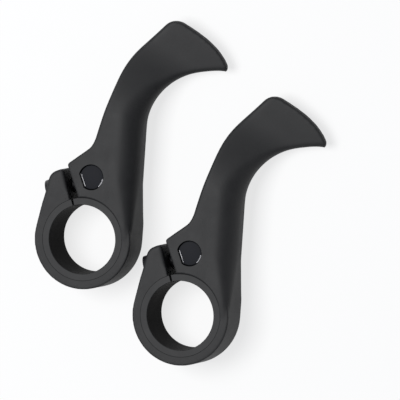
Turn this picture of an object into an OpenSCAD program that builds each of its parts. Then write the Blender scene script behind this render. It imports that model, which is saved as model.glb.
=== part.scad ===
// A pair of clamp-on bar end grips, lying flat side by side.
// Each grip is one moulded horn with a split clamp ring, a split sleeve that
// lines the ring, and a clamp bolt with its washer and barrel nut.
// Millimetres. The origin is the foot of the first grip's bore axis, on the
// surface that the pair lies on. +Z runs up that axis, and the arms reach to +Y.

/* [Clamp ring] */
// Diameter of the bar that the clamp grips
bar_d = 22.2; // [20:0.1:26]
// Width of the clamp along the bar
clamp_w = 16; // [14:0.5:20]
// Wall of the sleeve that lines the ring
sleeve_wall = 2.2; // [1.6:0.1:3]
// Width of the slit through the sleeve
sleeve_slit = 0.7; // [0.4:0.1:1.5]
// Wall of the ring outside the sleeve
ring_wall = 2.7; // [2:0.1:3.5]
// Height of the arm's front face above the front of the ring
face_step = 0.8; // [0.2:0.1:1.5]

/* [Split and ear] */
// Lean of the split from the +Y axis, in degrees
split_lean = 19; // [10:1:28]
// Distance of the arm's side of the split from the bore's centre plane
split_side = 3.3; // [2.6:0.1:4]
// Width of the split at its mouth
split_mouth = 2.2; // [1.6:0.1:3]
// Width of the split beside the sleeve
split_root = 3.3; // [1.6:0.1:4]
// Radius of the ear's outer corner
ear_corner_r = 3.6; // [2.5:0.1:4.5]
// Distance of that corner's centre from the bore's centre plane
ear_reach = 1.5; // [0.5:0.1:3]
// Height of that corner's centre above the bolt axis
ear_rise = 2.2; // [1.5:0.1:4]
// Height of the arm's top corner beside the split above the bolt axis
block_rise = 6.6; // [5:0.1:8]
// Slope of the block's top edge from that corner to the arm, in degrees
block_slope = 15.2; // [8:0.2:24]
// Radius of the hollow between that edge and the arm
hollow_r = 6; // [2:0.5:9]

/* [Bolt, washer and nut] */
// Thread diameter of the clamp bolt
bolt_d = 5; // [4:0.5:6]
// Length of the clamp bolt under its head
bolt_len = 18; // [16:1:22]
// Diameter of the bolt's head
head_d = 8.5; // [7:0.5:10]
// Height of the bolt's head
head_h = 3.5; // [2.5:0.1:5]
// Width across the flats of the head's hex socket
socket_af = 3; // [2:0.5:4]
// Depth of the hex socket
socket_depth = 2; // [1:0.1:2.2]
// Outer diameter of the washer
washer_d = 9; // [8:0.5:11]
// Thickness of the washer
washer_t = 1; // [0.5:0.1:1.5]
// Thickness of the ear under the washer, at the bolt axis
ear_floor = 3.9; // [3:0.1:5]
// Wall between the bolt hole and the sleeve's seat
bolt_wall = 1.7; // [1:0.1:3]
// Diameter of the barrel nut
nut_d = 7.8; // [7:0.1:9]
// Length of the barrel nut
nut_len = 12.6; // [11:0.1:14]
// Distance of the nut's flat from its centre
nut_flat = 3.2; // [2.9:0.1:3.8]
// Distance of the nut's centre from the arm's side of the split
nut_inset = 6.3; // [5.4:0.1:8]
// Depth of the nut's front face below the arm's front face
nut_recess = 0.7; // [0:0.1:1.5]

/* [Arm] */
// Width of the arm's root, buried in the ring
root_w = 20; // [18:0.5:22]
// Heading of the arm's outer edge from the +X axis, in degrees
outer_heading = 72.2; // [70:0.2:78]
// Straight run of the arm's outer edge
outer_run = 46.8; // [34:0.2:54]
// Radius of the outer edge's bend
outer_bend_r = 28; // [20:0.5:36]
// Angle that the outer edge bends through
outer_bend = 31; // [24:0.5:45]
// Straight end of the outer edge
outer_tail = 12.6; // [6:0.1:18]
// Heading of the arm's inner edge from the +X axis, in degrees
inner_heading = 85.6; // [82:0.2:88]
// Straight run of the arm's inner edge
inner_run = 37.1; // [28:0.1:44]
// Radius of the inner edge's bend
inner_bend_r = 19.4; // [14:0.2:30]
// Angle that the inner edge bends through
inner_bend = 81; // [70:0.5:92]
// Straight end of the inner edge
inner_tail = 9.1; // [2:0.1:14]
// Thickness of the tip
tip_t = 3; // [2.4:0.2:6]
// Height of the tip's back face above the surface that the pair lies on
tip_rise = 4.5; // [1:0.5:8]
// Height of the tip's outer corner above its inner corner
tip_twist = 3; // [0:0.5:8]
// Rise of the rounded end past its corners
tip_bow = 2.2; // [0:0.2:4]
// Rounding of the tip's outer corner, seen from the front
tip_corner_r = 4; // [0.5:0.5:6]
// Rounding of its inner corner
tip_inner_r = 1.2; // [0.5:0.1:3]
// Rounding of the arm's inner edge beside the nut
inner_round = 6.5; // [3:0.5:7]
// Rounding of the arm's outer edge beside the nut
outer_round = 0.8; // [0.4:0.1:2]
// Rounding of the arm's outer edge at the tip
tip_round = 1.3; // [0.6:0.1:2]

/* [Pair] */
// Free width between the two rings, seen along +Y
pair_gap = 0.7; // [0:0.1:8]
// Distance that the second grip lies below the first, along -Y
pair_drop = 23.8; // [20:0.2:40]

/* [Fits] */
// Clearance round the sleeve in its seat
sleeve_fit = 0.05; // [0.02:0.01:0.1]
// Clearance round the bolt in the nut's thread
thread_fit = 0.05; // [0.02:0.01:0.1]
// Clearance round the bolt in its plain holes
hole_fit = 0.25; // [0.15:0.05:0.5]
// Clearance round the nut in its hole
nut_fit = 0.25; // [0.15:0.05:0.4]
// Clearance round the washer in the ear's counterbore
washer_fit = 0.3; // [0.2:0.05:0.5]

/* [Hidden] */
$fn = 96;
// Overshoot of cutting bodies
over = 1;

// Radii about the bore axis
bar_r = bar_d / 2;
sleeve_r = bar_r + sleeve_wall;
seat_r = sleeve_r + sleeve_fit;
ring_r = seat_r + ring_wall;

// Heights above the surface that the pair lies on
mid_z = clamp_w / 2;
face_z = clamp_w + face_step;
nut_top_z = face_z - nut_recess;
nut_floor_z = nut_top_z - nut_len;

// Places in the split's frame: X runs along the bolt, Y up the split
hole_r = bolt_d / 2 + hole_fit;
bolt_y = seat_r + bolt_wall + hole_r;
nut_x = split_side + nut_inset;
mouth_x = split_side - split_mouth;
split_mid_x = split_side - split_mouth / 2;
root_x = split_side - split_root;
ear_top_y = bolt_y + ear_rise + ear_corner_r;
block_top_y = bolt_y + block_rise;
// The washer seats this far along the bolt's line, left of the bore's axis
ear_face_x = root_x + (mouth_x - root_x) * (bolt_y - bar_r) / (ear_top_y - bar_r);
seat_x = ear_face_x - ear_floor;
head_x = seat_x - washer_t;

// Second grip's place beside the first
pair_step = [2 * ring_r + pair_gap, -pair_drop, 0];

// Unit vector at an angle
function dir(a) = [cos(a), sin(a)];
// Value clipped between two limits
function clip(x, low, high) = max(low, min(high, x));
// Share of the way from one value to another
function mix(a, b, t) = a + (b - a) * t;
// Turns a point about the origin
function turn(p, a) = [p[0] * cos(a) - p[1] * sin(a), p[0] * sin(a) + p[1] * cos(a)];

// An edge of the arm in plan: a straight run, a clockwise bend, a straight tail.
// f runs from 0 at the start to 1 at the end, by length.
function edge_length(run, r, bend, tail) = run + r * bend * PI / 180 + tail;
function edge_point(start, heading, run, r, bend, tail, f) =
    let (
        s = f * edge_length(run, r, bend, tail),
        arc = r * bend * PI / 180,
        bend_start = start + run * dir(heading),
        centre = bend_start + r * dir(heading - 90),
        bend_end = centre + r * dir(heading + 90 - bend)
    )
    s <= run ? start + s * dir(heading)
    : s <= run + arc ? centre + r * dir(heading + 90 - (s - run) / r * 180 / PI)
    : bend_end + (s - run - arc) * dir(heading - bend);

// The inner edge leaves the ring along its tangent, sunk a little into it
sunk = 0.1;
inner_start = (ring_r - sunk) * dir(inner_heading - 90);
// The outer edge starts inside the ring, this high above the bore axis
root_rise = 6;
outer_start = [ring_r - root_w, root_rise];
function inner_edge(f) =
    edge_point(inner_start, inner_heading, inner_run, inner_bend_r, inner_bend, inner_tail, f);
function outer_edge(f) =
    edge_point(outer_start, outer_heading, outer_run, outer_bend_r, outer_bend, outer_tail, f);

// Shares of the arm's length over which its front face drops to the tip's,
// its back face rises, and it twists
drop_span = [0.49, 0.9];
rise_span = [0.45, 1];
twist_span = [0.4, 0.9];
// The root's front face climbs to its full height over this share
climb_to = 0.07;
// The end takes its own shape from this share on
bow_from = 0.6;
// Share from 0 to 1 over a span, level at both of its ends
function eased(f, span) =
    let (
        t = clip((f - span[0]) / (span[1] - span[0]), 0, 1)
    )
    t * t * (3 - 2 * t);
function root_z(f) = clamp_w + face_step * clip(f / climb_to, 0, 1) - sunk / 2;
function front_z(f) = mix(root_z(f), tip_rise + tip_t, eased(f, drop_span));
function back_z(f) = mix(sunk / 2, tip_rise, eased(f, rise_span));
function arm_t(f) = front_z(f) - back_z(f);
function arm_mid_z(f, side) =
    (front_z(f) + back_z(f)) / 2 + side * tip_twist / 2 * eased(f, twist_span);
// Rounding of the inner edge at the ring, and what it gains by the tip
root_round = 1;
tip_gain = 2;
// No rounding takes more of the arm's thickness than this share
most_round = 0.47;
function inner_r(f) =
    min(most_round * arm_t(f), mix(root_round, inner_round, clip(f / 0.25, 0, 1)) + tip_gain * f);
function outer_r(f) = min(most_round * arm_t(f), mix(outer_round, tip_round, f));
function bow(f) = clip((f - bow_from) / (1 - bow_from), 0, 1) ^ 2;
// Its inner corner is rounded from this share on
nip_from = 0.93;
function nip(f) = clip((f - nip_from) / (1 - nip_from), 0, 1) ^ 2;
// How far an end corner of radius r is drawn back, e in from the edge
function drawn_back(e, r) = r * (1 - sqrt(1 - clip(1 - e / r, 0, 1) ^ 2));
// The end's bulge is fuller towards its inner corner by this share
bow_lean = 0.5;
// Shape of the end: a bulge over its width w, drawn back at both corners
function bulge(x, w) = tip_bow * (1 - (2 * x / w) ^ 2) * (1 + bow_lean * 2 * x / w);
function end_reach(f, x, w) =
    bow(f) * (bulge(x, w) - drawn_back(w / 2 + x, tip_corner_r))
        - nip(f) * drawn_back(w / 2 - x, tip_inner_r);

// Rounded section, width w and thickness t, with its own radius on each side.
// Point i and the point as far from the list's end lie straight across from each other.
corner_steps = 4;
face_steps = 4;
function corner(cx, cy, r, from) =
    [for (i = [0:corner_steps]) [cx, cy] + r * dir(from + 90 * i / corner_steps)];
function run(x_from, x_to, y) =
    [for (i = [1:face_steps - 1]) [mix(x_from, x_to, i / face_steps), y]];
function section(w, t, ri, ro) = concat(
    corner(w / 2 - ri, t / 2 - ri, ri, 0),
    run(w / 2 - ri, ro - w / 2, t / 2),
    corner(ro - w / 2, t / 2 - ro, ro, 90),
    corner(ro - w / 2, ro - t / 2, ro, 180),
    run(ro - w / 2, w / 2 - ri, -t / 2),
    corner(w / 2 - ri, ri - t / 2, ri, 270)
);

// A section of the arm spans from its outer edge to its inner edge
function mid_point(f) =
    let (
        o = outer_edge(f),
        i = inner_edge(f)
    )
    [(o[0] + i[0]) / 2, (o[1] + i[1]) / 2, (arm_mid_z(f, 1) + arm_mid_z(f, -1)) / 2];
function unit(v) = v / norm(v);
function arm_section(f) =
    let (
        o = concat(outer_edge(f), arm_mid_z(f, 1)),
        i = concat(inner_edge(f), arm_mid_z(f, -1)),
        w = norm(i - o),
        across = (i - o) / w,
        along = unit(mid_point(f + 0.005) - mid_point(f - 0.005)),
        up = unit(cross(across, along)),
        ahead = cross(up, across)
    )
    [for (p = section(w, arm_t(f), inner_r(f), outer_r(f)))
        (o + i) / 2 + p[0] * across + p[1] * up + end_reach(f, p[0], w) * ahead];

// The arm, swept through its sections
arm_stations = 26;
module arm() {
    sections = [for (s = [0:arm_stations]) arm_section(s / arm_stations)];
    n = len(sections[0]);
    sides = [for (s = [0:arm_stations - 1], i = [0:n - 1])
        let (
            a = s * n + i,
            b = s * n + (i + 1) % n
        )
        each [[a, b, a + n], [b, b + n, a + n]]];
    // Each end is closed in strips across its thickness
    strips = [for (i = [0:n / 2 - 2]) [i, i + 1, n - 2 - i, n - 1 - i]];
    start_cap = [for (q = strips) each [[q[0], q[2], q[1]], [q[0], q[3], q[2]]]];
    last = arm_stations * n;
    end_cap = [for (q = strips) each [
        [last + q[0], last + q[1], last + q[2]],
        [last + q[0], last + q[2], last + q[3]]
    ]];
    polyhedron([for (s = sections) each s], concat(start_cap, sides, end_cap), convexity = 6);
}

// Points along an arc from one angle to another
function arc(centre, r, from, to, steps) =
    [for (i = [0:steps]) centre + r * dir(mix(from, to, i / steps))];

// The ear's corner, joined to the ring by the tangent line of both, in the split's frame
ear_centre = [-ear_reach, bolt_y + ear_rise];
tangent_a = atan2(ear_centre[1], ear_centre[0])
    + acos((ring_r - ear_corner_r) / norm(ear_centre));

// Ring with its ear, in the split's frame. The outline stops inside the split.
module ring_outline() {
    polygon(concat(
        arc([0, 0], ring_r, tangent_a, 360 + acos(split_mid_x / ring_r), 60),
        [[split_mid_x, ear_top_y]],
        arc(ear_centre, ear_corner_r, 90, tangent_a, 8)
    ));
}

// Where the block's top edge meets the arm's outer edge
block_corner = turn([split_side, block_top_y], split_lean);
block_heading = split_lean + block_slope;
kink_s = cross(block_corner - outer_start, dir(block_heading))
    / cross(dir(outer_heading), dir(block_heading));
kink = outer_start + kink_s * dir(outer_heading);
// The hollow there turns through this angle
kink_turn = outer_heading - block_heading;
hollow_len = hollow_r * tan(kink_turn / 2);
hollow_centre = kink + hollow_len * dir(outer_heading) + hollow_r * dir(outer_heading + 90);

// Block that joins the ring to the arm, round the barrel nut. The split trims it.
// It runs on along the arm's outer edge and turns into the arm by this much each way.
block_lap = [1, 4];
module block_outline() {
    polygon(concat(
        [turn([split_mid_x, 0], split_lean)],
        [block_corner - split_mouth / 2 * dir(block_heading)],
        arc(hollow_centre, hollow_r, block_heading - 90, outer_heading - 90, 6),
        [kink + (hollow_len + block_lap[0]) * dir(outer_heading)
            + block_lap[1] * dir(outer_heading - 90)],
        [[ring_r / 2, 0]]
    ));
}

// The split, from its mouth down to the sleeve. It bevels the ear's top corner by
// this much across and down, and runs this far past the ear and the block.
mouth_bevel = [0.5, 0.8];
split_past = 5;
module split_cut() {
    translate([0, 0, -over])
        linear_extrude(face_z + 2 * over)
            polygon([
                [split_side, bar_r],
                [split_side, block_top_y + split_past],
                [mouth_x - split_past, block_top_y + split_past],
                [mouth_x - mouth_bevel[0], ear_top_y + over],
                [mouth_x, ear_top_y - mouth_bevel[1]],
                [root_x, bar_r]
            ]);
}

// The block's back stands this far clear of the surface
block_relief = 0.3;

// Puts a shape on the bolt's axis, its +Z pointing out through the head
module on_bolt_axis(x) {
    rotate([0, 0, split_lean])
        translate([x, bolt_y, mid_z])
            rotate([0, -90, 0])
                children();
}

// Outline of the barrel nut, with its flat towards the split, and a gap all round
module nut_shape(gap, height) {
    translate([nut_x, bolt_y, nut_floor_z])
        difference() {
            cylinder(r = nut_d / 2 + gap, h = height);
            translate([-nut_flat - gap - nut_d, -nut_d, -over])
                cube([nut_d, 2 * nut_d, height + 2 * over]);
        }
}

// The bolt's hole ends this far past the barrel nut
bolt_room = 2;
hole_end_x = nut_x + nut_d / 2 + bolt_room;

module horn() {
    difference() {
        union() {
            linear_extrude(clamp_w) rotate(split_lean) ring_outline();
            translate([0, 0, block_relief]) linear_extrude(face_z - block_relief) block_outline();
            arm();
        }
        translate([0, 0, -over]) cylinder(r = seat_r, h = face_z + 2 * over);
        rotate([0, 0, split_lean]) {
            split_cut();
            nut_shape(nut_fit, nut_len + nut_recess + over);
        }
        on_bolt_axis(hole_end_x)
            cylinder(r = hole_r, h = hole_end_x - seat_x + over);
        on_bolt_axis(seat_x)
            cylinder(d = washer_d + 2 * washer_fit, h = 2 * head_h + bar_r);
    }
}

// Split sleeve that lines the ring, its slit in line with the split
module sleeve() {
    difference() {
        cylinder(r = sleeve_r, h = clamp_w);
        translate([0, 0, -over]) cylinder(r = bar_r, h = clamp_w + 2 * over);
        rotate([0, 0, split_lean])
            translate([(root_x + mouth_x) / 2, bar_r / 2, -over])
                cube([sleeve_slit, sleeve_r, clamp_w + 2 * over]);
    }
}

// Low head screw, drawn from its head's underside
chamfer = 0.4;
module clamp_bolt() {
    on_bolt_axis(head_x)
        difference() {
            rotate_extrude()
                polygon([
                    [0, -bolt_len],
                    [bolt_d / 2 - chamfer, -bolt_len],
                    [bolt_d / 2, chamfer - bolt_len],
                    [bolt_d / 2, 0],
                    [head_d / 2, 0],
                    [head_d / 2, head_h - chamfer],
                    [head_d / 2 - chamfer, head_h],
                    [0, head_h]
                ]);
            translate([0, 0, head_h - socket_depth])
                cylinder(d = socket_af / cos(30), h = socket_depth + over, $fn = 6);
        }
}

module washer() {
    on_bolt_axis(seat_x)
        difference() {
            cylinder(d = washer_d, h = washer_t);
            translate([0, 0, -over]) cylinder(r = hole_r, h = washer_t + 2 * over);
        }
}

// Barrel nut with one flat, which faces the split
module barrel_nut() {
    difference() {
        rotate([0, 0, split_lean]) nut_shape(0, nut_len);
        on_bolt_axis(nut_x + nut_d)
            cylinder(r = bolt_d / 2 + thread_fit, h = 2 * nut_d);
    }
}

module horn_1() { color("#2b2c2e") horn(); }
module sleeve_1() { color("#303133") sleeve(); }
module clamp_bolt_1() { color("#1c1d1f") clamp_bolt(); }
module washer_1() { color("#26272a") washer(); }
module barrel_nut_1() { color("#17181a") barrel_nut(); }
module horn_2() { color("#2b2c2e") translate(pair_step) horn(); }
module sleeve_2() { color("#303133") translate(pair_step) sleeve(); }
module clamp_bolt_2() { color("#1c1d1f") translate(pair_step) clamp_bolt(); }
module washer_2() { color("#26272a") translate(pair_step) washer(); }
module barrel_nut_2() { color("#17181a") translate(pair_step) barrel_nut(); }

horn_1();
sleeve_1();
clamp_bolt_1();
washer_1();
barrel_nut_1();
horn_2();
sleeve_2();
clamp_bolt_2();
washer_2();
barrel_nut_2();
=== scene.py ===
import math

import bmesh
import bpy
import numpy as np
from mathutils import Matrix, Vector


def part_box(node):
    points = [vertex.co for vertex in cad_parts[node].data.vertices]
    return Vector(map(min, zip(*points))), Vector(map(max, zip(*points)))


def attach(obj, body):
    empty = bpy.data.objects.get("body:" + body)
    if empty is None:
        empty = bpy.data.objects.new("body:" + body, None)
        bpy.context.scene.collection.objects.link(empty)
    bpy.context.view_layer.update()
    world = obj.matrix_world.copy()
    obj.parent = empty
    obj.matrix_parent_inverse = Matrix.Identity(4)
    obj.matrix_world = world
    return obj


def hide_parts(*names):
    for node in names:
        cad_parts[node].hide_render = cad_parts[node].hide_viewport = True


# Two clamp-on bar end grips, lying flat. Meshes are made in millimetres and
# brought down to metres when they are placed.

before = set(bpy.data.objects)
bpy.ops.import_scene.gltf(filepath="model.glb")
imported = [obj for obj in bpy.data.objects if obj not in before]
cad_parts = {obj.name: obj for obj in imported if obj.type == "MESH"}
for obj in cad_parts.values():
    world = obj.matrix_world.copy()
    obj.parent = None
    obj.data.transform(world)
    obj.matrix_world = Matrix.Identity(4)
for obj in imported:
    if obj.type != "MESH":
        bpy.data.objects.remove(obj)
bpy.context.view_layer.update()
mm = 0.001
weld = 1e-5  # vertices nearer to each other than this are one, in millimetres

# the second grip lies this far from the first
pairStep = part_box("sleeve_2")[0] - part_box("sleeve_1")[0]
places = {1: Vector((0, 0, 0)), 2: pairStep}


def heading(angle):
    a = math.radians(angle)
    return np.array([math.cos(a), math.sin(a)])


def turned(point, angle):
    c, s = heading(angle)
    return np.array([point[0] * c - point[1] * s, point[0] * s + point[1] * c])


def mix(a, b, t):
    return a + (b - a) * t


def share(value, low, high):
    return min(max((value - low) / (high - low), 0.0), 1.0)


def arcPoints(centre, radius, fromAngle, toAngle, steps):
    return [
        np.array(centre) + radius * heading(mix(fromAngle, toAngle, i / steps))
        for i in range(steps + 1)
    ]


# the faces between neighbouring rings of n points, and back to the first if closed
def sweptFaces(rings, n, closed=False):
    steps = range(rings if closed else rings - 1)
    return [
        (s * n + i, s * n + (i + 1) % n, t * n + (i + 1) % n, t * n + i)
        for s, t in ((s, (s + 1) % rings) for s in steps)
        for i in range(n)
    ]


def makeObject(name, vertices, faces):
    mesh = bpy.data.meshes.new(name)
    mesh.from_pydata([tuple(v) for v in vertices], [], faces)
    obj = bpy.data.objects.new(name, mesh)
    bpy.context.scene.collection.objects.link(obj)
    return obj


def outward(obj):
    bm = bmesh.new()
    bm.from_mesh(obj.data)
    bmesh.ops.remove_doubles(bm, verts=bm.verts, dist=weld)
    bmesh.ops.recalc_face_normals(bm, faces=bm.faces)
    bm.to_mesh(obj.data)
    bm.free()
    return obj


def prism(name, outline, low, high):
    n = len(outline)
    vertices = [(x, y, z) for z in (low, high) for x, y in outline]
    walls = [(i, (i + 1) % n, n + (i + 1) % n, n + i) for i in range(n)]
    return outward(makeObject(name, vertices, walls + [range(n), range(n, 2 * n)]))


# profile runs from the axis round to the axis again, as (radius, height)
def turnedSolid(name, profile, steps=96):
    vertices = [
        (r * math.cos(a), r * math.sin(a), z)
        for a in np.linspace(0, 2 * math.pi, steps, endpoint=False)
        for r, z in profile
    ]
    faces = sweptFaces(steps, len(profile), closed=True)
    return outward(makeObject(name, vertices, faces))


# gives the object the mesh that its modifiers make, and takes them off
def settle(obj):
    bpy.context.view_layer.update()
    graph = bpy.context.evaluated_depsgraph_get()
    mesh = bpy.data.meshes.new_from_object(obj.evaluated_get(graph))
    obj.modifiers.clear()
    old = obj.data
    obj.data = mesh
    bpy.data.meshes.remove(old)
    return obj


def joined(name, parts):
    bm = bmesh.new()
    for part in parts:
        bm.from_mesh(part.data)
        bpy.data.objects.remove(part)
    mesh = bpy.data.meshes.new(name)
    bm.to_mesh(mesh)
    bm.free()
    obj = bpy.data.objects.new(name, mesh)
    bpy.context.scene.collection.objects.link(obj)
    return obj


def carve(obj, *tools):
    for tool in tools:
        cut = obj.modifiers.new("cut", "BOOLEAN")
        cut.operation = "DIFFERENCE"
        cut.solver = "EXACT"
        cut.object = tool
        settle(obj)
        bpy.data.objects.remove(tool)
    return obj


def remesh(obj, voxel):
    m = obj.modifiers.new("skin", "REMESH")
    m.mode = "VOXEL"
    m.voxel_size = voxel
    m.adaptivity = 0
    return settle(obj)


# rounds the edges off, all over or by the weight that region gives each place
def soften(obj, passes, region=None):
    m = obj.modifiers.new("soften", "SMOOTH")
    m.factor = 0.5
    m.iterations = passes
    if region:
        group = obj.vertex_groups.new(name="softer")
        for vertex in obj.data.vertices:
            weight = region(vertex.co)
            if weight > 0:
                group.add([vertex.index], weight, "REPLACE")
        m.vertex_group = "softer"
    settle(obj)
    obj.vertex_groups.clear()
    return obj


def bevelEdges(obj, width, segments=3, angle=30):
    m = obj.modifiers.new("bevel", "BEVEL")
    m.width = width
    m.segments = segments
    m.limit_method = "ANGLE"
    m.angle_limit = math.radians(angle)
    m.harden_normals = False
    return settle(obj)


# stands a piece made along +Z on the bolt's line, its +Z out through the head
def onBoltAxis(obj, x):
    obj.data.transform(
        Matrix.Rotation(math.radians(clamp["splitLean"]), 4, "Z")
        @ Matrix.Translation((x, boltY, midZ))
        @ Matrix.Rotation(math.radians(-90), 4, "Y")
    )
    return obj


# moves a piece within the split's frame, then leans it as the split leans
def leaned(obj, x=0, y=0, z=0):
    obj.data.transform(
        Matrix.Rotation(math.radians(clamp["splitLean"]), 4, "Z")
        @ Matrix.Translation((x, y, z))
    )
    return obj


# a copy of the piece for each grip, in metres, riding on its body;
# the pick gives the material of each face: painted shade in the sleeve's bore, painted glints on the
# nut's rim
def placePair(obj, stem, body, materials, smoothAngle=40, shadePick=None):
    picks = [shadePick(face) if shadePick else 0 for face in obj.data.polygons]
    for grip, step in places.items():
        copy = obj.data.copy()
        copy.transform(Matrix.Translation(step) @ Matrix.Scale(mm, 4))
        copy.materials.clear()
        for material in materials:
            copy.materials.append(material)
        copy.polygons.foreach_set("material_index", picks)
        piece = bpy.data.objects.new(f"{stem}_{grip}_look", copy)
        bpy.context.scene.collection.objects.link(piece)
        for polygon in copy.polygons:
            polygon.use_smooth = True
        copy.set_sharp_from_angle(angle=math.radians(smoothAngle))
        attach(piece, f"{body}_{grip}")
        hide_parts(f"{stem}_{grip}")
    bpy.data.objects.remove(obj)


def newMaterial(name):
    material = bpy.data.materials.new(name)
    material.use_nodes = True
    tree = material.node_tree
    return material, tree, tree.nodes["Principled BSDF"]


def noiseOn(tree, coordinates, scale, detail, roughness=0.5):
    noise = tree.nodes.new("ShaderNodeTexNoise")
    noise.inputs["Scale"].default_value = scale
    noise.inputs["Detail"].default_value = detail
    noise.inputs["Roughness"].default_value = roughness
    tree.links.new(coordinates.outputs["Object"], noise.inputs["Vector"])
    return noise


def ranged(tree, source, low, high, fromLow=0.3, fromHigh=0.7):
    span = tree.nodes.new("ShaderNodeMapRange")
    span.inputs["From Min"].default_value = fromLow
    span.inputs["From Max"].default_value = fromHigh
    span.inputs["To Min"].default_value = low
    span.inputs["To Max"].default_value = high
    tree.links.new(source, span.inputs["Value"])
    return span.outputs["Result"]


def bumpFrom(tree, source, strength, distance, under=None):
    bump = tree.nodes.new("ShaderNodeBump")
    bump.inputs["Strength"].default_value = strength
    bump.inputs["Distance"].default_value = distance
    tree.links.new(source, bump.inputs["Height"])
    if under:
        tree.links.new(under, bump.inputs["Normal"])
    return bump.outputs["Normal"]


# shade and gloss drift together with one noise
def varied(tree, shader, noise, look):
    tint = tree.nodes.new("ShaderNodeMix")
    tint.data_type = "RGBA"
    tint.inputs["A"].default_value = (*look["dark"], 1)
    tint.inputs["B"].default_value = (*look["light"], 1)
    tree.links.new(ranged(tree, noise.outputs["Fac"], 0, 1), tint.inputs["Factor"])
    tree.links.new(tint.outputs["Result"], shader.inputs["Base Color"])
    gloss = ranged(tree, noise.outputs["Fac"], look["roughLow"], look["roughHigh"])
    tree.links.new(gloss, shader.inputs["Roughness"])
    shader.inputs["Specular IOR Level"].default_value = look["specular"]


# matt moulded plastic: a fine even grain, faint cloudiness in shade and gloss
def mouldedPlastic(name, look):
    material, tree, shader = newMaterial(name)
    place = tree.nodes.new("ShaderNodeTexCoord")
    cloud = noiseOn(tree, place, look["cloudScale"], detail=5, roughness=0.7)
    grain = noiseOn(tree, place, look["grainScale"], detail=2, roughness=0.6)
    speck = noiseOn(tree, place, look["speckScale"], detail=1)
    varied(tree, shader, cloud, look)
    coarse = bumpFrom(tree, grain.outputs["Fac"], look["grain"], look["grainDepth"])
    fine = bumpFrom(tree, speck.outputs["Fac"], look["speck"], look["grainDepth"] / 2, coarse)
    tree.links.new(fine, shader.inputs["Normal"])
    return material


# steel under a thin black finish, with faint scuffs in its gloss; made bright, it also paints the
# glints on the nut's rim
def blackedSteel(name, look):
    material, tree, shader = newMaterial(name)
    place = tree.nodes.new("ShaderNodeTexCoord")
    scuff = noiseOn(tree, place, look["scuffScale"], detail=4, roughness=0.65)
    varied(tree, shader, scuff, look)
    normal = bumpFrom(tree, scuff.outputs["Fac"], look["scuff"], look["scuffDepth"])
    tree.links.new(normal, shader.inputs["Normal"])
    shader.inputs["Metallic"].default_value = look["metal"]
    return material


# shades are plain reflectances; noise scales are per metre, and depths in metres
hornLook = {
    "dark": (0.012, 0.012, 0.0125),
    "light": (0.017, 0.017, 0.0175),
    "roughLow": 0.61,
    "roughHigh": 0.69,
    "specular": 0.4,
    "cloudScale": 160,
    "grainScale": 1700,
    "speckScale": 6000,
    "grain": 0.4,
    "speck": 0.25,
    "grainDepth": 0.00005,
}
# the sleeve's plastic, a shade lighter than the horn's: painted light for the brighter face round
# the bore
sleeveLitLook = {**hornLook, "dark": (0.016, 0.016, 0.0165), "light": (0.022, 0.022, 0.0225)}
# the bore's plastic made near black and barely glossy: painted shade for the dark inside of the bore
boreShadeLook = {
    **hornLook,
    "dark": (0.003, 0.003, 0.003),
    "light": (0.005, 0.005, 0.005),
    "roughLow": 0.5,
    "roughHigh": 0.56,
    "specular": 0.01,
}
boltLook = {
    "dark": (0.01, 0.01, 0.012),
    "light": (0.022, 0.022, 0.025),
    "roughLow": 0.38,
    "roughHigh": 0.52,
    "scuffScale": 1400,
    "scuff": 0.2,
    "scuffDepth": 0.00003,
    "metal": 0.3,
    "specular": 0.5,
}
nutLook = {
    "dark": (0.008, 0.0085, 0.011),
    "light": (0.013, 0.014, 0.018),
    "roughLow": 0.62,
    "roughHigh": 0.72,
    "scuffScale": 900,
    "scuff": 0.12,
    "scuffDepth": 0.00003,
    "metal": 0,
    "specular": 0.15,
}
# bright steel only for the painted glints on two sectors of the nut's rim
rimGlintLook = {
    **nutLook,
    "dark": (0.45, 0.45, 0.47),
    "light": (0.85, 0.85, 0.87),
    "roughLow": 0.35,
    "roughHigh": 0.5,
    "metal": 0.5,
    "specular": 0.5,
}
hornPlastic = mouldedPlastic("horn plastic", hornLook)
sleeveLitPlastic = mouldedPlastic("sleeve plastic lit", sleeveLitLook)
borePaintedShade = mouldedPlastic("bore painted shade", boreShadeLook)
blackSteel = blackedSteel("black steel", boltLook)
nutSteel = blackedSteel("nut steel", nutLook)
glintSteel = blackedSteel("worn steel", rimGlintLook)
print("materials made")

# millimetres and degrees; the clamp's sizes are taken before its split leans over from +Y
clamp = {
    "barDiameter": 22.2,
    "width": 16,
    "sleeveWall": 2.2,
    "sleeveFit": 0.05,
    "ringWall": 2.7,
    "faceStep": 0.8,  # the arm stands this much prouder than the ring
    "backRound": 2.9,  # edge round the ring's back face
    "splitLean": 19,
    "splitSide": 3.3,  # the split's straight side, from the bore's middle
    "splitMouth": 2.2,
    "splitRoot": 3.3,
    "splitRoom": 5,  # the split's tool reaches this far past the block's top
    "mouthFlare": 0.5,  # the ear's top edge is broken by this much across
    "mouthEdge": 0.8,  # and this much down
    "slit": 0.7,
    "earCornerRadius": 3.6,
    "earReach": 1.5,
    "earRise": 2.2,  # above the bolt
    "blockRise": 6.6,  # above the bolt
    "blockSlope": 15.2,
    "cornerRound": 0.9,
    "hollowRadius": 6,  # between the block's top and the arm
    "blockOverrun": 1,  # the block goes on this far along the arm
    "blockSunk": 4,  # and this far into it
    "earFloor": 3.9,  # left under the bolt's head
    "boltWall": 1.7,
}
fastener = {
    "boltDiameter": 5,
    "boltLength": 18,
    "pitch": 0.8,
    "headDiameter": 8.5,
    "headHeight": 3.5,
    "socketFlats": 3,
    "socketDepth": 2,
    "washerDiameter": 9,
    "washerThickness": 1,
    "nutDiameter": 7.8,
    "nutLength": 12.6,
    "nutFlat": 3.2,
    "nutInset": 6.3,
    "nutRecess": 0.7,  # below the arm's face
    "headRoom": 30,  # the counterbore's tool reaches in from outside
    "endRoom": 2,  # the bolt's hole goes on past the nut
    "holeFit": 0.25,
    "nutFit": 0.25,
    "washerFit": 0.3,
}
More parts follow.
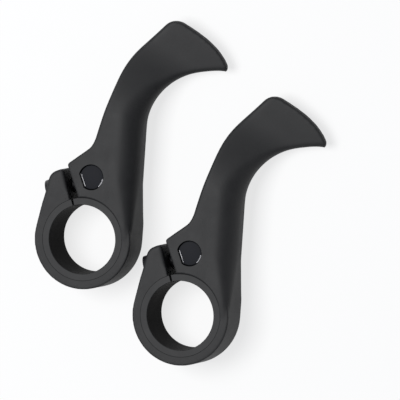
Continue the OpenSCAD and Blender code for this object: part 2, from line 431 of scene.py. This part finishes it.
arm = {
    "rootWidth": 20,
    "rootY": 6,
    "sunk": 0.1,  # into the ring and block, so that they join up
    "outer": {"heading": 72.2, "run": 46.8, "radius": 28, "bend": 31, "tail": 12.6},
    "inner": {"heading": 85.6, "run": 37.1, "radius": 19.4, "bend": 81, "tail": 9.1},
    "tipFrontZ": 7.5,
    "tipBackZ": 4.5,
    "tipTwist": 3,
    "tipBow": 2.2,
    "tipCornerRadius": 4,
    "tipInnerRadius": 1.2,
    "bowLean": 0.5,
    "rootRound": 1,
    "innerRound": 6.5,
    "roundedBy": 0.25,
    "roundGrowth": 2,
    "roundLimit": 0.47,  # of the thickness
    "outerRound": 0.8,
    "tipRound": 1.3,
    "frontDrop": (0.49, 0.9),  # from and to, as shares of the length, like those below
    "backRise": (0.45, 1),
    "twist": (0.4, 0.9),
    "climbTo": 0.07,
    "bowFrom": 0.6,
    "nipFrom": 0.93,
    "stations": 170,
    "smoothing": 60,
    "cornerSteps": 14,
    "faceSteps": 26,
}
skin = {
    "voxel": 0.3,
    "passes": 9,
    "extraPasses": 50,
    "earInset": (-0.5, 1.5),  # from the ring's outside, where the softer ear begins
    "earPastMouth": 0.6,
    "earDepth": (6, 10),
    "endFrom": (48, 56),
    "endSoftness": 0.4,
    "stepEdge": 0.45,
    "triangles": 180000,
}
clear = 1  # how far cutting tools reach past what they cut

barRadius = clamp["barDiameter"] / 2
sleeveRadius = barRadius + clamp["sleeveWall"]
seatRadius = sleeveRadius + clamp["sleeveFit"]
ringRadius = seatRadius + clamp["ringWall"]
midZ = clamp["width"] / 2
faceZ = clamp["width"] + clamp["faceStep"]
holeRadius = fastener["boltDiameter"] / 2 + fastener["holeFit"]
boltY = seatRadius + clamp["boltWall"] + holeRadius
nutX = clamp["splitSide"] + fastener["nutInset"]
mouthX = clamp["splitSide"] - clamp["splitMouth"]
rootX = clamp["splitSide"] - clamp["splitRoot"]
splitMidX = clamp["splitSide"] - clamp["splitMouth"] / 2
earCentre = np.array([-clamp["earReach"], boltY + clamp["earRise"]])
earTopY = earCentre[1] + clamp["earCornerRadius"]
blockTopY = boltY + clamp["blockRise"]
earFaceX = mix(rootX, mouthX, (boltY - barRadius) / (earTopY - barRadius))
seatX = earFaceX - clamp["earFloor"]
headX = seatX - fastener["washerThickness"]
nutTopZ = faceZ - fastener["nutRecess"]
nutFloorZ = nutTopZ - fastener["nutLength"]

innerStart = (ringRadius - arm["sunk"]) * heading(arm["inner"]["heading"] - 90)
outerStart = np.array([ringRadius - arm["rootWidth"], arm["rootY"]])


# a straight run, a clockwise bend and a straight tail, f by length
def edgePoint(start, edge, f):
    bendLength = edge["radius"] * math.radians(edge["bend"])
    s = f * (edge["run"] + bendLength + edge["tail"])
    bendStart = start + edge["run"] * heading(edge["heading"])
    centre = bendStart + edge["radius"] * heading(edge["heading"] - 90)
    if s <= edge["run"]:
        return start + s * heading(edge["heading"])
    if s <= edge["run"] + bendLength:
        swept = math.degrees((s - edge["run"]) / edge["radius"])
        return centre + edge["radius"] * heading(edge["heading"] + 90 - swept)
    bendEnd = centre + edge["radius"] * heading(edge["heading"] + 90 - edge["bend"])
    return bendEnd + (s - edge["run"] - bendLength) * heading(edge["heading"] - edge["bend"])


def eased(f, span):
    t = share(f, *span)
    return t * t * (3 - 2 * t)


def frontZ(f):
    rootZ = clamp["width"] + clamp["faceStep"] * share(f, 0, arm["climbTo"]) - arm["sunk"] / 2
    return mix(rootZ, arm["tipFrontZ"], eased(f, arm["frontDrop"]))


def backZ(f):
    return mix(arm["sunk"] / 2, arm["tipBackZ"], eased(f, arm["backRise"]))


def armMidZ(f, side):
    lift = side * arm["tipTwist"] / 2 * eased(f, arm["twist"])
    return (frontZ(f) + backZ(f)) / 2 + lift


# one face with its two rounded corners, as (across, up)
def halfSection(width, thickness, innerR, outerR):
    halfW, halfT = width / 2, thickness / 2
    steps = arm["cornerSteps"]
    across = np.linspace(halfW - innerR, outerR - halfW, arm["faceSteps"] + 1)[1:-1]
    face = arcPoints((halfW - innerR, halfT - innerR), innerR, 0, 90, steps)
    face += [np.array([x, halfT]) for x in across]
    return face + arcPoints((outerR - halfW, halfT - outerR), outerR, 90, 180, steps)


# rounded section; its inner corners differ between front and back
def sectionPoints(width, thickness, frontR, backR, outerR):
    front = halfSection(width, thickness, frontR, outerR)
    back = halfSection(width, thickness, backR, outerR)
    return np.array(front + [p * (1, -1) for p in reversed(back)])


def drawnBack(inset, r):
    return r * (1 - math.sqrt(1 - share(r - inset, 0, r) ** 2))


# shape of the end: a bulge, fuller on its inner side, drawn back at both corners
def endReach(f, x, width):
    side = 2 * x / width
    bulge = arm["tipBow"] * (1 - side * side) * (1 + arm["bowLean"] * side)
    outerCut = drawnBack(width / 2 + x, arm["tipCornerRadius"])
    innerCut = drawnBack(width / 2 - x, arm["tipInnerRadius"])
    bow = share(f, arm["bowFrom"], 1) ** 2
    nip = share(f, arm["nipFrom"], 1) ** 2
    return bow * (bulge - outerCut) - nip * innerCut


# evens out the jumps in curvature where a run meets its bend
def smoothed(stations, passes):
    for _ in range(passes):
        stations[1:-1] = (stations[:-2] + 2 * stations[1:-1] + stations[2:]) / 4
    return stations


def makeArm():
    fs = np.linspace(0, 1, arm["stations"])
    outer = np.array([[*edgePoint(outerStart, arm["outer"], f), armMidZ(f, 1)] for f in fs])
    inner = np.array([[*edgePoint(innerStart, arm["inner"], f), armMidZ(f, -1)] for f in fs])
    outer, inner = smoothed(outer, arm["smoothing"]), smoothed(inner, arm["smoothing"])
    middle = (outer + inner) / 2
    along = np.gradient(middle, axis=0)
    vertices = []
    for f, o, i, m, ahead in zip(fs, outer, inner, middle, along):
        width = np.linalg.norm(i - o)
        across = (i - o) / width
        up = np.cross(across, ahead)
        up /= np.linalg.norm(up)
        ahead = np.cross(up, across)
        t = frontZ(f) - backZ(f)
        most = arm["roundLimit"] * t
        grown = mix(arm["rootRound"], arm["innerRound"], share(f, 0, arm["roundedBy"]))
        innerR = min(most, grown + arm["roundGrowth"] * f)
        backR = max(innerR, min(most, clamp["backRound"]))
        outerR = mix(arm["outerRound"], arm["tipRound"], f)
        for x, z in sectionPoints(width, t, innerR, backR, outerR):
            vertices.append(m + x * across + z * up + endReach(f, x, width) * ahead)
    n = len(vertices) // len(fs)
    faces = sweptFaces(len(fs), n)
    last = (len(fs) - 1) * n
    for k in range(n // 2 - 1):
        strip = (k, k + 1, n - 2 - k, n - 1 - k)
        faces += [strip, tuple(last + v for v in strip)]
    return outward(makeObject("arm", vertices, faces))


# rounds the edge round a prism's back face
def roundBack(obj, radius):
    bm = bmesh.new()
    bm.from_mesh(obj.data)
    edges = [e for e in bm.edges if all(v.co.z < weld for v in e.verts)]
    bmesh.ops.bevel(bm, geom=edges, offset=radius, segments=8, affect="EDGES", profile=0.5)
    bm.to_mesh(obj.data)
    bm.free()


def makeRing():
    tangent = math.degrees(
        math.atan2(earCentre[1], earCentre[0])
        + math.acos((ringRadius - clamp["earCornerRadius"]) / np.linalg.norm(earCentre))
    )
    stop = 360 + math.degrees(math.acos(splitMidX / ringRadius))
    outline = arcPoints((0, 0), ringRadius, tangent, stop, steps=180)
    outline += [np.array([splitMidX, earTopY])]
    outline += arcPoints(earCentre, clamp["earCornerRadius"], 90, tangent, steps=30)
    ring = prism("ring", outline, 0, clamp["width"])
    roundBack(ring, clamp["backRound"])
    return leaned(ring)


def makeBlock():
    lean, slope = clamp["splitLean"], clamp["splitLean"] + clamp["blockSlope"]
    corner = turned((clamp["splitSide"], blockTopY), lean)
    edge = arm["outer"]["heading"]
    gap = corner - outerStart
    a, b = heading(slope), heading(edge)
    alongEdge = (gap[0] * a[1] - gap[1] * a[0]) / (b[0] * a[1] - b[1] * a[0])
    kink = outerStart + alongEdge * b
    reach = clamp["hollowRadius"] * math.tan(math.radians(edge - slope) / 2)
    centre = kink + reach * b + clamp["hollowRadius"] * heading(edge + 90)
    outline = [turned((splitMidX, 0), lean), corner - clamp["splitMouth"] / 2 * a]
    outline += arcPoints(centre, clamp["hollowRadius"], slope - 90, edge - 90, steps=24)
    onArm = kink + (reach + clamp["blockOverrun"]) * b
    outline += [onArm + clamp["blockSunk"] * heading(edge - 90), (ringRadius / 2, 0)]
    return prism("block", outline, 0, faceZ)


def splitTool():
    side, r, slope = clamp["splitSide"], clamp["cornerRound"], math.radians(clamp["blockSlope"])
    centre = (side + r, blockTopY + r * math.tan(slope) - r / math.cos(slope))
    corner = arcPoints(centre, r, 180, 90 + clamp["blockSlope"], steps=10)
    outline = [
        (side, barRadius),
        *corner,
        (corner[-1][0], blockTopY + clamp["splitRoom"]),
        (mouthX - clamp["splitRoom"], blockTopY + clamp["splitRoom"]),
        (mouthX - clamp["mouthFlare"], earTopY + clear),
        (mouthX, earTopY - clamp["mouthEdge"]),
        (rootX, barRadius),
    ]
    return leaned(prism("split", outline, -clear, faceZ + clear))


def rodTool(radius, length):
    return turnedSolid("rod", [(0, 0), (radius, 0), (radius, length), (0, length)])


# round with one flat on the side of the split
def nutOutline(radius, flat, steps=64):
    stop = math.degrees(math.acos(flat / radius))
    return arcPoints((0, 0), radius, stop - 180, 180 - stop, steps)


# full in the ear's front, less at the arm's end, falling to 0 around them
def extraSoft(place):
    x, y = turned(place, -clamp["splitLean"])
    start, full = skin["earInset"]
    isEar = x < mouthX + skin["earPastMouth"]
    inEar = share(y, ringRadius + start, ringRadius + full) if isEar else 0
    inEnd = skin["endSoftness"] * share(place.y, *skin["endFrom"])
    return max(inEar * share(place.z, *skin["earDepth"]), inEnd)


def makeHorn():
    body = joined("horn", [makeArm(), makeRing(), makeBlock()])
    remesh(body, skin["voxel"])
    carve(body, splitTool())
    remesh(body, skin["voxel"])
    soften(body, skin["passes"])
    soften(body, skin["extraPasses"], extraSoft)

    headRadius = fastener["washerDiameter"] / 2 + fastener["washerFit"]
    headHole = onBoltAxis(rodTool(headRadius, fastener["headRoom"]), seatX)
    broken = skin["stepEdge"]
    seatEdge = [(seatRadius, faceZ - broken), (seatRadius + broken + clear, faceZ + clear)]
    seatProfile = [(0, -clear), (seatRadius, -clear), *seatEdge, (0, faceZ + clear)]
    seat = turnedSolid("seat", seatProfile, steps=180)
    fit = fastener["nutFit"]
    outline = nutOutline(fastener["nutDiameter"] / 2 + fit, fastener["nutFlat"] + fit)
    nutHole = leaned(prism("nut hole", outline, nutFloorZ, faceZ + clear), nutX, boltY)
    boltEnd = nutX + fastener["nutDiameter"] / 2 + fastener["endRoom"]
    boltHole = onBoltAxis(rodTool(holeRadius, boltEnd - seatX + clear), boltEnd)
    carve(body, headHole, seat, nutHole, boltHole)
    triangles = sum(len(p.vertices) - 2 for p in body.data.polygons)
    if triangles > skin["triangles"]:
        thin = body.modifiers.new("thin", "DECIMATE")
        thin.ratio = skin["triangles"] / triangles
        settle(body)
    for vertex in body.data.vertices:
        vertex.co.z = min(max(vertex.co.z, 0), faceZ)
    return body


placePair(makeHorn(), "horn", "grip", [hornPlastic], smoothAngle=60)
print("horns moulded")

sleeve = {"chamfer": 0.15, "rim": 0.08, "steps": 200, "facing": 0.9}


# swept round from one side of its slit to the other
def makeSleeve():
    low, high = 0, clamp["width"]
    c, e = sleeve["chamfer"], sleeve["rim"]
    profile = [
        (barRadius, low + e),
        (barRadius + e, low),
        (sleeveRadius - e, low),
        (sleeveRadius, low + e),
        (sleeveRadius, high - e),
        (sleeveRadius - e, high),
        (barRadius + c, high),
        (barRadius, high - c),
    ]
    middle = (barRadius + sleeveRadius) / 2
    slitX = (rootX + mouthX + clamp["slit"]) / 2
    slitAngle = 90 + clamp["splitLean"] - math.degrees(math.asin(slitX / middle))
    half = math.degrees(clamp["slit"] / 2 / middle)
    angles = np.linspace(slitAngle + half, slitAngle + 360 - half, sleeve["steps"])
    vertices = [(*(r * heading(a)), z) for a in angles for r, z in profile]
    n = len(profile)
    faces = sweptFaces(len(angles), n)
    faces += [range(n), range((len(angles) - 1) * n, len(angles) * n)]
    return outward(makeObject("sleeve", vertices, faces))


# 1 on the wall that the handlebar goes through, which takes the painted shade of the bore
def boreShadePick(face):
    towardAxis = -face.normal.xy.dot(face.center.xy) / face.center.xy.length
    return int(towardAxis > sleeve["facing"])


sleeveLitAndBoreShade = [sleeveLitPlastic, borePaintedShade]
placePair(makeSleeve(), "sleeve", "grip", sleeveLitAndBoreShade, 25, boreShadePick)
print("sleeves made")

bolt = {
    "edgeBevel": 0.12,
    "core": 2.12,
    "ridge": 0.38,
    "plain": 1.5,  # under the head, without thread
    "taper": 0.4,  # at the shank's end and where the thread stops
    "intoHead": 0.2,
    "threadInset": 0.6,  # from each end of its stretch
}


# a ridge wound round the shank
def threadNodes():
    tree = bpy.data.node_groups.new("thread", "GeometryNodeTree")
    sockets = tree.interface
    for name in ("Pitch", "Turns", "Path Radius", "Ridge"):
        sockets.new_socket(name, in_out="INPUT", socket_type="NodeSocketFloat")
    sockets.new_socket("Finish", in_out="INPUT", socket_type="NodeSocketMaterial")
    sockets.new_socket("Geometry", in_out="OUTPUT", socket_type="NodeSocketGeometry")
    given = tree.nodes.new("NodeGroupInput")
    result = tree.nodes.new("NodeGroupOutput")
    helix = tree.nodes.new("GeometryNodeCurveSpiral")
    helix.inputs["Resolution"].default_value = 32
    height = tree.nodes.new("ShaderNodeMath")
    height.operation = "MULTIPLY"
    ridge = tree.nodes.new("GeometryNodeCurvePrimitiveCircle")
    ridge.inputs["Resolution"].default_value = 3
    upright = tree.nodes.new("GeometryNodeSetCurveNormal")
    upright.mode = "Z_UP"
    sweep = tree.nodes.new("GeometryNodeCurveToMesh")
    sweep.inputs["Fill Caps"].default_value = True
    real = tree.nodes.new("GeometryNodeRealizeInstances")
    paint = tree.nodes.new("GeometryNodeSetMaterial")
    link = tree.links.new
    link(given.outputs["Pitch"], height.inputs[0])
    link(given.outputs["Turns"], height.inputs[1])
    link(given.outputs["Turns"], helix.inputs["Rotations"])
    link(height.outputs["Value"], helix.inputs["Height"])
    link(given.outputs["Path Radius"], helix.inputs["Start Radius"])
    link(given.outputs["Path Radius"], helix.inputs["End Radius"])
    link(given.outputs["Ridge"], ridge.inputs["Radius"])
    link(helix.outputs["Curve"], upright.inputs["Curve"])
    link(upright.outputs["Curve"], sweep.inputs["Curve"])
    link(ridge.outputs["Curve"], sweep.inputs["Profile Curve"])
    link(sweep.outputs["Mesh"], real.inputs["Geometry"])
    link(real.outputs["Geometry"], paint.inputs["Geometry"])
    link(given.outputs["Finish"], paint.inputs["Material"])
    link(paint.outputs["Geometry"], result.inputs["Geometry"])
    return tree


def makeThread(length):
    obj = makeObject("thread", [], [])
    wind = obj.modifiers.new("wind", "NODES")
    wind.node_group = threadNodes()
    values = {
        "Pitch": fastener["pitch"],
        "Turns": length / fastener["pitch"],
        "Path Radius": fastener["boltDiameter"] / 2 - bolt["ridge"],
        "Ridge": bolt["ridge"],
        "Finish": blackSteel,
    }
    for item in wind.node_group.interface.items_tree:
        if item.in_out == "INPUT":
            wind[item.identifier] = values[item.name]
    return outward(settle(obj))


def makeBolt():
    r, length = fastener["headDiameter"] / 2, fastener["boltLength"]
    top = fastener["headHeight"]
    head = turnedSolid("head", [(0, 0), (r, 0), (r, top), (0, top)])
    flats = fastener["socketFlats"] / math.cos(math.radians(30)) / 2
    corners = [flats * heading(60 * k) for k in range(6)]
    carve(head, prism("socket", corners, top - fastener["socketDepth"], top + clear))
    bevelEdges(head, bolt["edgeBevel"], segments=2)
    shankRadius = fastener["boltDiameter"] / 2
    core, plain, taper = bolt["core"], bolt["plain"], bolt["taper"]
    profile = [
        (0, -length),
        (core - taper, -length),
        (core, taper - length),
        (core, -plain - taper),
        (shankRadius, -plain),
        (shankRadius, bolt["intoHead"]),
        (0, bolt["intoHead"]),
    ]
    shank = turnedSolid("shank", profile, steps=48)
    thread = makeThread(length - plain - 2 * bolt["threadInset"])
    thread.data.transform(Matrix.Translation((0, 0, bolt["threadInset"] - length)))
    whole = joined("bolt", [head, shank, thread])
    return onBoltAxis(whole, headX)


placePair(makeBolt(), "clamp_bolt", "clamp_bolt", [blackSteel], smoothAngle=35)
print("bolts made")

washer = {"bevel": 0.15}


def makeWasher():
    r, hole, t = fastener["washerDiameter"] / 2, holeRadius, fastener["washerThickness"]
    ring = turnedSolid("washer", [(hole, 0), (r, 0), (r, t), (hole, t)])
    return onBoltAxis(bevelEdges(ring, washer["bevel"]), seatX)


placePair(makeWasher(), "washer", "washer", [blackSteel])
print("washers made")

nutEnd = {
    "bevel": 0.35,
    "threadFit": 0.05,
    # the rim's painted glints lie in these sectors
    "glintSectors": ((150, 212), (-72, -28)),  # degrees round the nut, from straight across the split
    "flat": 0.98,  # faces that look up more than this are the end, not its rim
}


def makeNut():
    outline = nutOutline(fastener["nutDiameter"] / 2, fastener["nutFlat"])
    nut = leaned(prism("nut", outline, nutFloorZ, nutTopZ), nutX, boltY)
    threadRadius = fastener["boltDiameter"] / 2 + nutEnd["threadFit"]
    hole = rodTool(threadRadius, 2 * fastener["nutDiameter"])
    bevelEdges(nut, nutEnd["bevel"])
    carve(nut, onBoltAxis(hole, nutX + fastener["nutDiameter"]))
    return nut


# 1 on the open end's rim in two sectors, where bright steel paints the glints
def nutGlintPick(face):
    x, y = turned(face.center, -clamp["splitLean"]) - (nutX, boltY)
    rim = face.center.z > nutTopZ - nutEnd["bevel"] and face.normal.z < nutEnd["flat"]
    angle = math.degrees(math.atan2(y, x))
    glinting = any(
        low < turn < high
        for low, high in nutEnd["glintSectors"]
        for turn in (angle, angle + 360)
    )
    return int(rim and glinting)


nutSteelAndGlints = [nutSteel, glintSteel]
placePair(makeNut(), "barrel_nut", "grip", nutSteelAndGlints, 40, nutGlintPick)
print("nuts made")

# floor, light and camera, in metres and watts
studio = {
    "imageWidth": 0.12795,  # what the picture takes in, at the bore's front
    "imagePixels": 400,
    "lens": 800,
    "sensor": 36,
    "clipEnd": 20,
    "look": (0.2908, 0.0539, 0.955),  # from the grips towards the camera
    "boreAtPixel": (82.0, 239.4),
    "pixelsPerMetre": 3126,
    "floorHalf": 3.0,
    "floorDrop": 0.00005,
    "floorWhite": 0.9,
    "whiteShare": 0.75,  # the rest of the floor takes light and shadow
    "worldColour": (0.86, 0.93, 1.08),
    "worldStrength": 0.2,
    "softboxPlace": (-0.25, 0.1, 0.9),
    "softboxAim": (0.03, 0.02, 0),
    "softboxSide": 0.5,
    "softboxWatts": 8.7,
}


# 1 for the rays that should find a white background
def backgroundRays(tree):
    seen = tree.nodes.new("ShaderNodeLightPath")
    total = seen.outputs["Is Camera Ray"]
    for ray in ("Is Glossy Ray", "Is Transmission Ray"):
        either = tree.nodes.new("ShaderNodeMath")
        either.operation = "MAXIMUM"
        tree.links.new(total, either.inputs[0])
        tree.links.new(seen.outputs[ray], either.inputs[1])
        total = either.outputs["Value"]
    return total


def makeFloor():
    half = studio["floorHalf"]
    corners = [(-half, -half, 0), (half, -half, 0), (half, half, 0), (-half, half, 0)]
    floor = makeObject("floor", corners, [(0, 1, 2, 3)])
    floor.data.transform(Matrix.Translation((0, 0, -studio["floorDrop"])))
    material, tree, shader = newMaterial("floor")
    shader.inputs["Base Color"].default_value = (*[studio["floorWhite"]] * 3, 1)
    shader.inputs["Roughness"].default_value = 0.9
    shader.inputs["Specular IOR Level"].default_value = 0.1
    glow = tree.nodes.new("ShaderNodeEmission")
    part = tree.nodes.new("ShaderNodeMath")
    part.operation = "MULTIPLY"
    part.inputs[1].default_value = studio["whiteShare"]
    blend = tree.nodes.new("ShaderNodeMixShader")
    tree.links.new(backgroundRays(tree), part.inputs[0])
    tree.links.new(part.outputs["Value"], blend.inputs["Fac"])
    tree.links.new(shader.outputs["BSDF"], blend.inputs[1])
    tree.links.new(glow.outputs["Emission"], blend.inputs[2])
    tree.links.new(blend.outputs["Shader"], tree.nodes["Material Output"].inputs["Surface"])
    floor.data.materials.append(material)


# the camera sees plain white, and all else a dim cool sky
def makeWorld():
    world = bpy.data.worlds.new("studio")
    bpy.context.scene.world = world
    world.use_nodes = True
    tree = world.node_tree
    around = tree.nodes["Background"]
    around.inputs["Color"].default_value = (*studio["worldColour"], 1)
    around.inputs["Strength"].default_value = studio["worldStrength"]
    white = tree.nodes.new("ShaderNodeBackground")
    white.inputs["Color"].default_value = (1, 1, 1, 1)
    seen = tree.nodes.new("ShaderNodeLightPath")
    blend = tree.nodes.new("ShaderNodeMixShader")
    tree.links.new(seen.outputs["Is Camera Ray"], blend.inputs["Fac"])
    tree.links.new(around.outputs["Background"], blend.inputs[1])
    tree.links.new(white.outputs["Background"], blend.inputs[2])
    tree.links.new(blend.outputs["Shader"], tree.nodes["World Output"].inputs["Surface"])


def makeSoftbox():
    place = Vector(studio["softboxPlace"])
    light = bpy.data.lights.new("overhead", "AREA")
    light.size = studio["softboxSide"]
    light.energy = studio["softboxWatts"]
    obj = bpy.data.objects.new("overhead", light)
    bpy.context.scene.collection.objects.link(obj)
    obj.location = place
    obj.rotation_euler = (Vector(studio["softboxAim"]) - place).to_track_quat("-Z", "Y").to_euler()
    obj.visible_camera = False


def makeCamera():
    toCamera = Vector(studio["look"]).normalized()
    up = (Vector((0, 1, 0)) - toCamera * toCamera.y).normalized()
    right = up.cross(toCamera)
    x, y = studio["boreAtPixel"]
    scale = studio["pixelsPerMetre"]
    boreFront = Vector((0, 0, clamp["width"] * mm))
    centre = studio["imagePixels"] / 2
    aim = boreFront + right * (centre - x) / scale + up * (y - centre) / scale
    distance = studio["imageWidth"] / 2 / (studio["sensor"] / 2 / studio["lens"])
    data = bpy.data.cameras.new("camera")
    data.lens = studio["lens"]
    data.sensor_width = studio["sensor"]
    data.clip_end = studio["clipEnd"]
    camera = bpy.data.objects.new("camera", data)
    bpy.context.scene.collection.objects.link(camera)
    turn = Matrix((right, up, toCamera)).transposed()
    camera.matrix_world = Matrix.Translation(aim + toCamera * distance) @ turn.to_4x4()
    bpy.context.scene.camera = camera


makeFloor()
makeWorld()
makeSoftbox()
makeCamera()
bpy.context.scene.view_settings.view_transform = "Standard"
print("studio set")
